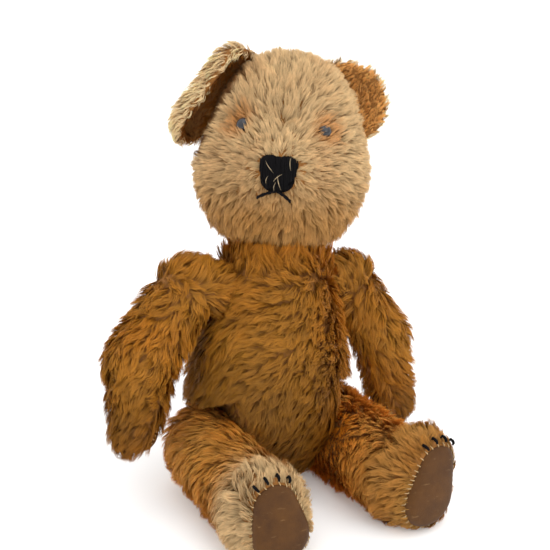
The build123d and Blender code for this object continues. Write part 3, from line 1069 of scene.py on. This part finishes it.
def leg_look(name, sign, field):
    plane = PLANES["leg_" + name]
    _, across, up, along = leg_place(name, sign)

    def local(points):
        return leg_local(name, sign, points)

    def flow(points):
        x, y, z = local(points)
        foot = smooth(z, 70, 110)
        way = across[None] * (-0.55 * (1 - foot) + 0.012 * x * foot)[:, None]
        way = way + along[None] * (0.35 - 0.5 * foot)[:, None]
        return way + up[None] * (-0.35 * (1 - foot) + 0.012 * y * foot)[:, None]

    def colour(points):
        x, _, z = local(points)
        foot = smooth(z, 62, 100)
        patch = smooth(x * -sign, -25, 20) * smooth(z, 95, 40)
        warm = (0.4 if sign < 0 else 0.8) * (0.3 + 0.7 * patch) + 0.2 * ripple(points, 40, 31)
        thigh = mixed(HONEY, AMBER, np.clip(warm, 0, 1))
        pale = (1.0 if sign < 0 else 0.06) * foot
        bright = 1.0 if sign < 0 else 1.18 - 0.35 * foot
        thigh = thigh * np.broadcast_to(bright, len(points))[:, None]
        return mixed(thigh, CREAM, pale)

    def barrier(points):
        z = local(points)[2]
        beside = beyond(points, plane) + JOINT_NAP + 30 * smooth(z, LEG_FREE - 8, LEG_FREE)
        return np.minimum(beside, SOLE_T + 3.0 - z)

    def grows(points):
        return ~on_joint(points, plane, 24) & (local(points)[2] < SOLE_T - 2.2)

    def shape(points):
        """The leg with its foot carried on past the sole, so that the pile doesn't wrap round it."""
        x, y, z = local(points)
        foot = soft_max(sole_outline(x, y, sign, CLOTH_INSET), FOOT_START - z, 10.0)
        return soft_min(thigh_shape(name, sign, points), foot, 14.0)

    return {
        **TORSO_LOOK,
        "press": above_floor(field),
        "shape": shape,
        "lift": (52, 20),
        "length": lambda p: 13.5 - 4.5 * smooth(local(p)[2], 100, 124),
        "flow": flow,
        "colour": colour,
        "grows": grows,
        "barrier": barrier,
    }


def ear_look(field, **own):
    """What the pile of both ears has in common, and what this ear has of its own."""
    common = {"density": 1.7, "lock": 4.0, "lift": (45, 14), "swirl": 12, "stray": 9, "wave": 14}
    return {
        **TORSO_LOOK,
        **common,
        "root": 0.8,
        "shape": field,
        "grows": lambda p: head_field(p) > 1.0,
        "barrier": lambda p: head_field(p) + 1.0,
        "press": lambda p: np.minimum(head_field(p) - 0.3, field(p) + 0.05),
        **own,
    }


def cup_look():
    centre, opening = cup_frame()
    rim_r = math.sqrt(CUP_R**2 - (CUP_R - CUP_DEPTH) ** 2)
    base = HEAD.at(20, -4, 62)

    def inside(points):
        return norm(points - centre) < CUP_R - 1.0 - EAR_T / 2

    def colour(points):
        rim = norm(np.cross(points - centre, opening)) / rim_r
        warm = np.where(inside(points), 0.9 - 0.85 * smooth(rim, 0.84, 1.0), 0.05)
        # Painted shade, darkest deep in the middle of the cup.
        painted_shade = np.where(inside(points), 0.2 * smooth(rim, 0.75, 0.3), 0)
        return mixed(mixed(PALE, APRICOT, warm), SHADE_BROWN, painted_shade)

    def length(points):
        return np.where(inside(points), 4.0, 7.0)

    return ear_look(cupped_ear, colour=colour, length=length, flow=lambda p: unit(p - base))


def flap_look():
    at, along, _ = flap_frame()

    def inside(points):
        q = points - at
        t = np.clip(q @ along, FLAP_R - FLAP_HALF, FLAP_HALF - FLAP_R)
        return norm(q - t[:, None] * along) < FLAP_R - 1.0 - EAR_T / 2

    def colour(points):
        warm = np.where(inside(points), 0.9, 0.02)
        # Painted shade over the inside of the folded ear, which faces the head.
        painted_shade = np.where(inside(points), 0.6, 0)
        colour = mixed(PALE, AMBER, np.clip(warm + 0.1 * ripple(points, 25, 41), 0, 1))
        return mixed(colour, SHADE_BROWN, painted_shade)

    def length(points):
        return np.where(inside(points), 5.0, 9.5)

    def flow(points):
        return along[None] * 0.9 + 0.5 * unit(points - at)

    return ear_look(folded_ear, colour=colour, length=length, flow=flow, wave=26)


# Stuffed bodies

BODY_CAP, PAD_CAP = 1.6, 1.4


def box_of(nodes):
    lows, highs = zip(*[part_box(node) for node in nodes])
    return np.min([np.array(v) for v in lows], 0) / MM, np.max([np.array(v) for v in highs], 0) / MM


def plush(prefix, body, field, nodes, seams, look, seed, cell=4.0):
    """A stuffed cloth body and its pile. The field gives its shape, and puff adds very little."""
    low, high = box_of(nodes)
    points, quads = surface_net(field, low - 2 * cell, high + 2 * cell, cell)
    piece = make_mesh(prefix + "_cloth", points, [quads], BACKING, body)
    if seams:
        puff(piece, seams(points), BODY_CAP)
    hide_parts(*nodes)
    grow(prefix + "_pile", body, (coordinates(piece.data), quads), look, seed)


SEAM_HALF, PINNED, STITCH_REACH = 2.2, 4.0, 1.7
PAD_T, PAW_R, PAW_LONG, SOLE_INSET, SOLE_TAPER = 1.6, 10.5, 0.86, 2.8, 0.09


def torso_seams(points):
    q = SPINE.local(points)
    pinned = (np.abs(q[:, 0]) < 2.5) | (points[:, 2] < 5)
    for plane in PLANES.values():
        pinned |= np.abs(beyond(points, plane)) < PINNED
    return pinned


def head_seams(points):
    q = HEAD.local(points)
    half = np.interp(q[:, 1], (-64, -20, 20, 50, 78), (9, 27, 27, 15, 9))
    gusset = (np.abs(np.abs(q[:, 0]) - half) < SEAM_HALF) & (q[:, 2] > 48)
    chin = (np.abs(q[:, 0]) < SEAM_HALF) & (q[:, 2] < 40)
    return gusset | chin | (beyond(points, PLANES["head"]) < PINNED) | (near_nose(points) < 18)


def arm_seams(name, sign):
    plane = PLANES["arm_" + name]
    at, inward = palm(name, sign)
    r = ARMS[name][2][1]

    def seams(points):
        edge = np.abs((points - at + inward * r) @ inward) < SEAM_HALF
        return edge | (beyond(points, plane) < PINNED) | on_palm(name, sign, points, 13.0)

    return seams


def leg_seams(name, sign):
    plane = PLANES["leg_" + name]

    def seams(points):
        x, _, z = leg_local(name, sign, points)
        edge = np.abs(x) < SEAM_HALF
        held = (beyond(points, plane) < PINNED) | (z > SOLE_T - 8)
        return edge | held | (points[:, 2] < 4.5)

    return seams


def outline_of(distance, angles):
    """Radius at each angle where a plane distance function reaches zero."""
    radius = np.full(len(angles), 5.0)
    for _ in range(40):
        radius = radius - 0.7 * distance(radius * np.cos(angles), radius * np.sin(angles))
    return radius


def pad_grid(distance, rings, spokes):
    """Points (x, y) on rings that grow out to an outline, each one's share of it, and quads."""
    share = np.linspace(0.04, 1, rings)
    angle = np.arange(spokes) * 2 * math.pi / spokes
    radius = share[:, None] * outline_of(distance, angle)[None]
    x, y = radius * np.cos(angle), radius * np.sin(angle)
    quads = np.roll(ring_quads(rings, spokes)[:, ::-1], 1, 1)
    return x.ravel(), y.ravel(), np.repeat(share, spokes), quads


def draped(points, inward, field, height):
    """Points brought straight down onto a field's surface, then raised by height."""
    for _ in range(25):
        points = points + inward * (field(points) - height)[:, None] * 0.8
    return points


def leather_pad(name, body, node, at, axes, inward, field, distance, crown, spokes=72, rings=14):
    """A sewn-on pad of leathercloth, crowned by its stuffing, with whip stitches round it."""
    x, y, share, quads = pad_grid(distance, rings, spokes)
    flat = at + np.outer(x, axes[0]) + np.outer(y, axes[1])
    dome = crown * (1 - share**2.2)
    edge = smooth(share, 0.93, 1.0) * 0.9
    points = draped(flat - inward * 12, inward, field, 0.5)
    points = points - inward * (dome + 0.7 - edge)[:, None]
    centre, rim = points[:spokes].mean(0)[None], points[-spokes:]
    under = rim + inward * PAD_T
    under_centre = under.mean(0)[None] + inward * 0.1
    count = len(points)
    last, below = count - spokes, count + 1
    j = np.arange(spokes)
    k = (j + 1) % spokes
    fan = np.stack([j, k, np.full(spokes, count)], 1)
    wall = np.stack([last + j, below + j, below + k, last + k], 1)
    back = np.stack([below + k, below + j, np.full(spokes, below + spokes)], 1)
    everything = np.concatenate([points, centre, under, under_centre])
    faces = [quads, wall, fan, back]
    piece = make_mesh(name, everything, faces, LEATHERCLOTH, body)
    pinned = np.ones(len(everything), bool)
    pinned[:count] = share > 0.9
    pinned[count] = False
    puff(piece, pinned, PAD_CAP, pressure=3.0)
    subdivide(piece)
    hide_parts(node)
    stitches(name + "_stitching", body, rim, inward)


def subdivide(obj):
    modifier = obj.modifiers.new("Subdivision", "SUBSURF")
    modifier.levels = modifier.render_levels = 1


def stitches(name, body, rim, inward):
    """Short slanting whip stitches over the pad's edge, one at every second point of its rim."""
    parts = []
    centre = rim.mean(0)
    for i in range(0, len(rim), 2):
        p = rim[i]
        out = unit(p - centre)
        lean = unit(rim[(i + 1) % len(rim)] - p)
        a = p - out * STITCH_REACH - inward * 0.1
        b = p + out * 0.5 + lean * 0.8 - inward * 0.3
        c = p + out * STITCH_REACH + lean * 1.3 + inward * 1.6
        parts.append(tube([a + inward, a, b, c], [0.2, 0.34, 0.36, 0.2], 5))
    make_joined(name, parts, TAN_THREAD, body)


# Features of the head and feet


def nose_outline(x, y):
    """Signed distance to the nose's shape: wide and rounded above, narrower below."""
    flat = np.stack([x, y, np.zeros_like(x)], 1)
    left = taper(flat, np.array([-5.4, 4.8, 0]), 7.6, np.array([-3.2, -4.6, 0]), 8.0)
    right = taper(flat, np.array([5.4, 4.8, 0]), 7.6, np.array([3.2, -4.6, 0]), 8.0)
    return soft_min(left, right, 5.0)


def nose_relief(x, y):
    """How far the stitched nose swells out, most in its middle."""
    return NOSE_SWELL * (1 - np.exp(np.minimum(nose_outline(x, y), 3) / NOSE_EASE))


def nose_point(x, y, height):
    return NOSE_AT + np.outer(x, NOSE_SIDE) + np.outer(y, NOSE_UP) + np.outer(height, NOSE_OUT)


def make_nose(rng):
    """Vertical satin stitches over a padded nose."""
    parts = []
    rise = np.linspace(-1, 1, 12)
    ys = np.linspace(-16, 16, 161)
    for x in np.arange(-13, 13.1, THREAD_PITCH):
        inside = nose_outline(np.full_like(ys, x), ys) < 0
        if inside.sum() < 8:
            continue
        low, high = ys[inside].min(), ys[inside].max()
        y = (low + high) / 2 + (high - low) / 2 * rise
        lean = rng.normal(0, 0.25)
        xs = x + lean * rise + rng.normal(0, 0.1)
        height = 1.2 + nose_relief(xs, y) + rng.normal(0, 0.12)
        height[0] = height[-1] = -1.5
        parts.append(tube(nose_point(xs, y, height), np.r_[0.3, np.full(10, 0.56), 0.3]))
    x, y, share, quads = pad_grid(nose_outline, 10, 48)
    height = 0.7 + nose_relief(x, y) - 4.0 * smooth(share, 0.86, 1.0)
    parts.append((nose_point(x, y, height), quads[:, ::-1]))
    nose = make_joined("nose_satin_stitch", parts, THREAD, "head")
    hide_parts("nose_embroidery")


def make_stray_hairs(rng):
    """Pale hairs caught across the nose."""
    hairs = []
    t = np.linspace(-1, 1, 7)
    for _ in range(6):
        x, y = rng.uniform(-8, 8), rng.uniform(-13, 9)
        heading = rng.normal(-1.0, 0.9)
        reach = rng.uniform(2.5, 5.5)
        xs = x + reach * t * math.cos(heading) + 0.8 * t * t
        ys = y + reach * t * math.sin(heading)
        height = 1.9 + nose_relief(xs, ys) + 0.5 * (1 - t * t)
        hairs.append(tube(nose_point(xs, ys, height), 0.16 * (1.05 - np.abs(t)), 4))
    make_joined("nose_stray_hairs", hairs, PALE_HAIR, "head")


def make_mouth():
    """Two twisted black threads, from below the nose out to each side."""
    parts = []
    t = np.linspace(0, 1, 9)[:, None]
    twist = np.linspace(0, 3 * math.pi, 9)
    for sign, end_side, end_up in ((1, 8.5, 27.0), (-1, 13.5, 28.0)):
        start = HEAD.at(sign * 0.3 - 1.0, 77.5, 33.0)
        end = HEAD.at(sign * end_side, 73.5, end_up)
        path = start * (1 - t) + end * t + NOSE_OUT * (2.2 * np.sin(math.pi * t) - 0.8)
        for phase in (0, math.pi):
            shift = np.outer(np.cos(twist + phase), NOSE_UP)
            shift = shift + np.outer(np.sin(twist + phase), NOSE_OUT)
            parts.append(tube(path + shift * 0.55, np.full(9, 0.78)))
    mouth = make_joined("mouth_stitches", parts, THREAD, "head")
    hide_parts("mouth_stitching")


CLAW_COURSE = (
    (SOLE_T + 0.3, -2.0),
    (SOLE_T + 0.1, -0.5),
    (SOLE_T - 1.8, 0.5),
    (SOLE_T - 4.0, 0.8),
    (SOLE_T - 5.2, -1.0),
)


def claw_stitches(name, sign):
    """Four short black stitches over the toe."""
    origin, across, up, along = leg_place(name, sign)
    toe = np.array([sign * TOE_OUT, FOOT_H / 2 - TOE_R])
    parts = []
    for step in (-1.5, -0.5, 0.5, 1.5):
        lean = math.radians(step * 26) + sign * 0.1
        way = np.array([math.sin(lean), math.cos(lean)])
        path = []
        for z, lift in CLAW_COURSE:
            x, y = toe + way * (TOE_R - 0.5 + lift)
            path.append(origin + across * x + up * y + along * z)
        parts.append(tube(path, [0.8, 1.0, 1.1, 1.0, 0.6], 8))
    claws = make_joined(f"leg_{name}_claw_stitches", parts, THREAD, f"leg_{name}")
    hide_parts(f"leg_{name}_claws")


def make_torso():
    nodes = ("torso_panel_left", "torso_panel_right", "torso_stuffing")
    plush("torso", "torso", torso_field, nodes, torso_seams, TORSO_LOOK, 101)


def make_head():
    nodes = ("head_gusset", "head_side_left", "head_side_right", "head_stuffing")
    plush("head", "head", head_field, nodes, head_seams, HEAD_LOOK, 201)
    for name, look, seed in (("left", cup_look(), 211), ("right", flap_look(), 221)):
        nodes = (f"ear_{name}_back", f"ear_{name}_lining")
        plush(f"ear_{name}", "head", look["shape"], nodes, None, look, seed, 1.8)
    rng = np.random.default_rng(71)
    make_nose(rng)
    make_stray_hairs(rng)
    make_mouth()


def limb_nodes(body):
    return [f"{body}_{part}" for part in ("outer_panel", "inner_panel", "stuffing")]


def make_arm(name, sign):
    field, seams, body = arm_field(name, sign), arm_seams(name, sign), f"arm_{name}"
    look = arm_look(name, sign, field)
    plush(body, body, field, limb_nodes(body), seams, look, 301 + sign)
    at, inward = palm(name, sign)
    down = unit(SPINE.way(0, 0, -1) - (SPINE.way(0, 0, -1) @ inward) * inward)
    axes = (np.cross(inward, down), down)
    pad, node = f"{body}_paw_leather", f"{body}_paw_pad"
    leather_pad(pad, body, node, at, axes, -inward, field, paw_outline, 0.8, 48, 9)


def paw_outline(x, y):
    return np.hypot(x, y * PAW_LONG) - PAW_R


def make_leg(name, sign):
    field, seams, body = leg_field(name, sign), leg_seams(name, sign), f"leg_{name}"
    look = leg_look(name, sign, field)
    plush(body, body, field, limb_nodes(body), seams, look, 401 + sign)
    origin, across, up, along = leg_place(name, sign, SOLE_T)

    def outline(x, y):
        return sole_outline(x, y, sign, SOLE_INSET) + SOLE_TAPER * np.maximum(y, 0)

    pad, node = f"{body}_sole_leather", f"{body}_foot_pad"
    leather_pad(pad, body, node, origin, (across, up), -along, field, outline, 1.6)
    claw_stitches(name, sign)


def dress_hardware():
    """Better materials for the CAD parts that stay."""
    for name, node in frame["nodes"].items():
        material = None
        if name.endswith("_glass"):
            material = GLASS
        elif "disc" in name:
            material = HARDBOARD
        elif name.endswith(("washer", "washers", "pin", "shank")):
            material = STEEL
        if material:
            node.data.materials.clear()
            node.data.materials.append(material)


# Studio

CAMERA_AZ, CAMERA_EL, CAMERA_DISTANCE, LENS = -26.0, 20.5, 1.1, 105.84
AIM = np.array([-0.0045, -0.020, 0.163])
KEY_PLACE, KEY_TARGET = (0.5, -1.5, 1.0), (0, 0, 0.15)
FLOOR_HALF = 6000.0


def aimed(name, data, place, back):
    """An object that looks from its place along the opposite of back."""
    obj = bpy.data.objects.new(name, data)
    bpy.context.scene.collection.objects.link(obj)
    obj.location = place
    obj.rotation_mode = "QUATERNION"
    obj.rotation_quaternion = (-Vector(back)).to_track_quat("-Z", "Y")
    return obj


def camera():
    (az_c, az_s), (el_c, el_s) = cos_sin(CAMERA_AZ), cos_sin(CAMERA_EL)
    back = np.array([az_s * el_c, -az_c * el_c, el_s])
    data = bpy.data.cameras.new("camera")
    data.lens = LENS
    data.sensor_width = 36.0
    data.clip_start, data.clip_end = 0.05, 50.0
    bpy.context.scene.camera = aimed("camera", data, AIM + back * CAMERA_DISTANCE, back)


def lights():
    world = bpy.data.worlds.new("studio")
    world.use_nodes = True
    background = world.node_tree.nodes["Background"]
    feed(background, {"Color": (1.0, 0.995, 0.985, 1), "Strength": 1.12})
    bpy.context.scene.world = world
    sun = bpy.data.lights.new("overhead", "SUN")
    sun.energy = 1.0
    sun.angle = 1.3
    overhead = bpy.data.objects.new("overhead", sun)
    overhead.rotation_euler = (math.radians(19), math.radians(9), 0)
    bpy.context.scene.collection.objects.link(overhead)
    key = bpy.data.lights.new("key", "AREA")
    key.shape = "DISK"
    key.size = 0.9
    key.energy = 3.0
    aimed("key", key, KEY_PLACE, Vector(KEY_PLACE) - Vector(KEY_TARGET))


def studio_floor():
    """A floor that gives off a little light, so that it stays white in the picture."""
    material, nodes, shader = new_material("studio_floor")
    noise = object_noise(nodes, 3.0, 2.0)
    white = ramp(nodes, noise, (0.3, (0.94, 0.94, 0.94)), (0.7, (0.96, 0.96, 0.96)))
    glow = {"Emission Color": (1, 1, 1, 1), "Emission Strength": 0.16}
    feed(shader, {"Base Color": white, "Roughness": 0.7, **glow})
    corners = FLOOR_HALF * np.array([[-1, -1, 0], [1, -1, 0], [1, 1, 0], [-1, 1, 0]], float)
    floor = make_mesh("floor", corners, [np.array([[0, 1, 2, 3]])], material, None, False)
    bpy.context.scene.view_settings.view_transform = "Standard"


camera()
lights()
studio_floor()
dress_hardware()
make_torso()
make_head()
for side_name, side_sign in (("left", 1), ("right", -1)):
    make_arm(side_name, side_sign)
    make_leg(side_name, side_sign)
